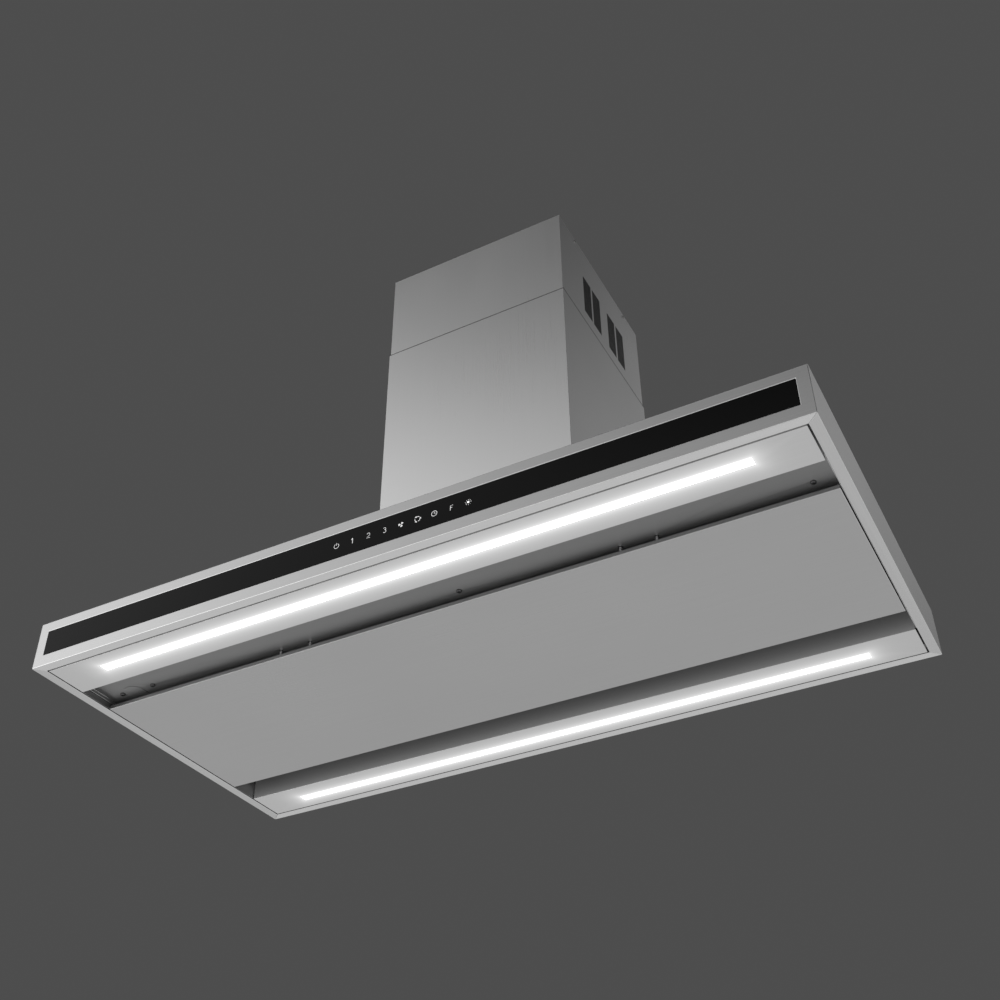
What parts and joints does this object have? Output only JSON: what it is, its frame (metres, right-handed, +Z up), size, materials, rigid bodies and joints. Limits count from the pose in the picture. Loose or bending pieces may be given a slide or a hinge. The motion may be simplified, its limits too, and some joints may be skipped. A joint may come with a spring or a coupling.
{
  "type": "island range hood",
  "caption": "Ceiling-hung island range hood: flat stainless box with black touch-control strip, two light strips, edge suction slots round a drop-down panel, and a two-part square flue.",
  "frame": {"origin": "on the flue's axis, at the top face of the ceiling plate, where the hood hangs from the ceiling", "axes": "+X along the body's length to the right as seen from the control glass, +Y to the rear, +Z up; the control glass faces -Y"},
  "size_m": [1.2, 0.61, 0.71],
  "materials": {
    "satin_steel": "satin stainless sheet, fine lengthwise grain",
    "tray_steel": "duller stainless of the recess",
    "black_glass": "black back-painted control glass, polished",
    "opal_diffuser": "opal light diffuser, lit white",
    "galvanised": "galvanised sheet",
    "aluminium": "mill aluminium",
    "zinc_steel": "zinc-plated screws, pins and shaft",
    "black_plastic": "black moulded plastic",
    "grey_plastic": "grey moulded plastic",
    "circuit_board": "green circuit board",
    "cast_motor": "motor casing, dark paint",
    "lamination": "rotor laminations"
  },
  "bodies": {
    "hood": {"front_fascia": "satin_steel", "rear_fascia": "satin_steel", "left_end": "satin_steel", "right_end": "satin_steel", "top_cover": "satin_steel", "corner_brackets": "galvanised", "body_rails": "galvanised", "control_glass": "black_glass", "glass_carrier": "black_plastic", "touch_board": "circuit_board", "inner_tray": "tray_steel", "filter_frame": "tray_steel", "filter_frame_screws": "zinc_steel", "bay_plate": "tray_steel", "front_light_panel": "satin_steel", "rear_light_panel": "satin_steel", "front_diffuser": "opal_diffuser", "rear_diffuser": "opal_diffuser", "led_profiles": "aluminium", "led_boards": "circuit_board", "led_driver": "black_plastic", "catch_sockets": "zinc_steel", "hinge_brackets": "zinc_steel", "hinge_pins": "zinc_steel", "left_filter_rim": "aluminium", "right_filter_rim": "aluminium", "left_filter_mesh": "aluminium", "right_filter_mesh": "aluminium", "electronics_box": "grey_plastic", "electronics_lid": "grey_plastic", "control_board": "circuit_board", "terminal_block": "black_plastic", "cable_gland": "black_plastic", "motor_box": "galvanised", "scroll_band": "galvanised", "front_scroll_plate": "galvanised", "rear_scroll_plate": "galvanised", "outlet_duct": "grey_plastic", "motor_stator": "cast_motor", "motor_bearings": "zinc_steel", "motor_bracket": "zinc_steel", "outlet_spigot": "grey_plastic", "flap_pins": "zinc_steel", "ceiling_plate": "galvanised", "upper_uprights": "galvanised", "lower_uprights": "galvanised", "frame_bolts": "zinc_steel", "upper_flue": "satin_steel", "flue_screws": "zinc_steel"},
    "suction_panel": {"suction_panel": "satin_steel", "panel_studs": "zinc_steel", "hinge_leaves": "zinc_steel"},
    "left_latch": {"left_filter_latch": "black_plastic"},
    "right_latch": {"right_filter_latch": "black_plastic"},
    "fan": {"impeller": "black_plastic", "motor_shaft": "zinc_steel", "motor_rotor": "lamination"},
    "left_flap": {"left_flap": "grey_plastic"},
    "right_flap": {"right_flap": "grey_plastic"},
    "lower_flue": {"lower_flue": "satin_steel"}
  },
  "joints": [
    {"name": "suction_panel_hinge", "type": "hinge", "parent": "hood", "child": "suction_panel", "pos_m": [-0.067, 0.15, -0.701], "axis": [1, 0, 0], "range_deg": [0, 90]},
    {"name": "left_latch_slide", "type": "slide", "parent": "hood", "child": "left_latch", "axis": [0, 1, 0], "range_m": [0, 0.004], "stiffness_N_per_m": 300, "springref_m": -0.004},
    {"name": "right_latch_slide", "type": "slide", "parent": "hood", "child": "right_latch", "axis": [0, 1, 0], "range_m": [0, 0.004], "stiffness_N_per_m": 300, "springref_m": -0.004},
    {"name": "fan_spin", "type": "hinge", "parent": "hood", "child": "fan", "pos_m": [-0.054, 0, -0.505], "axis": [0, 1, 0], "continuous": true},
    {"name": "left_flap_hinge", "type": "hinge", "parent": "hood", "child": "left_flap", "pos_m": [-0.004, 0, -0.3438], "axis": [0, 1, 0], "range_deg": [0, 75]},
    {"name": "right_flap_hinge", "type": "hinge", "parent": "hood", "child": "right_flap", "pos_m": [0.004, 0, -0.3438], "axis": [0, -1, 0], "range_deg": [0, 75]},
    {"name": "lower_flue_slide", "type": "slide", "parent": "hood", "child": "lower_flue", "axis": [0, 0, 1], "range_m": [0, 0.165]}
  ]
}
